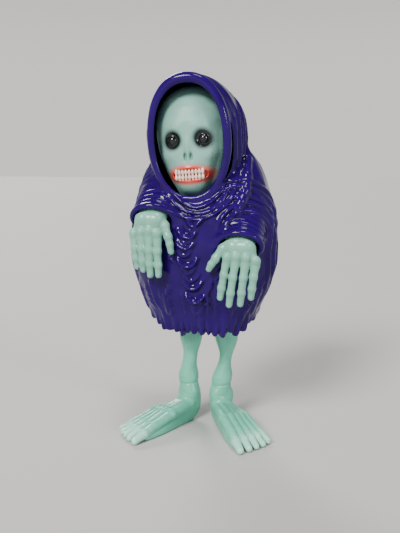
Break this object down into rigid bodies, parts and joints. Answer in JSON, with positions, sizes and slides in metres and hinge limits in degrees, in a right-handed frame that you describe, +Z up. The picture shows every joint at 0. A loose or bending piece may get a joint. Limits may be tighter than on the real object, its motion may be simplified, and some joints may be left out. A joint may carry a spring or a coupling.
{
  "type": "hooded ghoul figure",
  "caption": "Soft-vinyl ghoul figure in a glossy hooded cloak, standing on long bare feet, with a head, hands and legs that swivel in the cloak.",
  "frame": {"origin": "middle of the figure's bounding box, on the surface it stands on", "axes": "+Z up, the figure faces -Y, its own left side is +X"},
  "size_m": [0.0982, 0.083, 0.2261],
  "materials": {
    "cloak_vinyl": "wet-look gloss",
    "head_vinyl": "matte with airbrushed paint",
    "hand_vinyl": "satin",
    "leg_vinyl": "satin"
  },
  "bodies": {
    "cloak": {"cloak": "cloak_vinyl"},
    "head": {"head": "head_vinyl"},
    "right_hand": {"right_hand": "hand_vinyl"},
    "left_hand": {"left_hand": "hand_vinyl"},
    "right_leg": {"right_leg": "leg_vinyl"},
    "left_leg": {"left_leg": "leg_vinyl"}
  },
  "joints": [
    {"name": "head_turn", "type": "hinge", "parent": "cloak", "child": "head", "pos_m": [0.00027, 0.00205, 0.1495], "axis": [0, 0, 1], "range_deg": [-8, 8]},
    {"name": "right_wrist", "type": "hinge", "parent": "cloak", "child": "right_hand", "pos_m": [-0.02293, -0.01995, 0.1475], "axis": [0, -0.7986, -0.6018], "range_deg": [-10, 10]},
    {"name": "left_wrist", "type": "hinge", "parent": "cloak", "child": "left_hand", "pos_m": [0.02957, -0.01995, 0.1325], "axis": [0, -0.7986, -0.6018], "range_deg": [-10, 10]},
    {"name": "right_hip", "type": "hinge", "parent": "cloak", "child": "right_leg", "pos_m": [-0.00993, 0.01505, 0.0735], "axis": [0, 0, 1], "range_deg": [-30, 20]},
    {"name": "left_hip", "type": "hinge", "parent": "cloak", "child": "left_leg", "pos_m": [0.01407, 0.01505, 0.0735], "axis": [0, 0, 1], "range_deg": [-20, 30]}
  ]
}
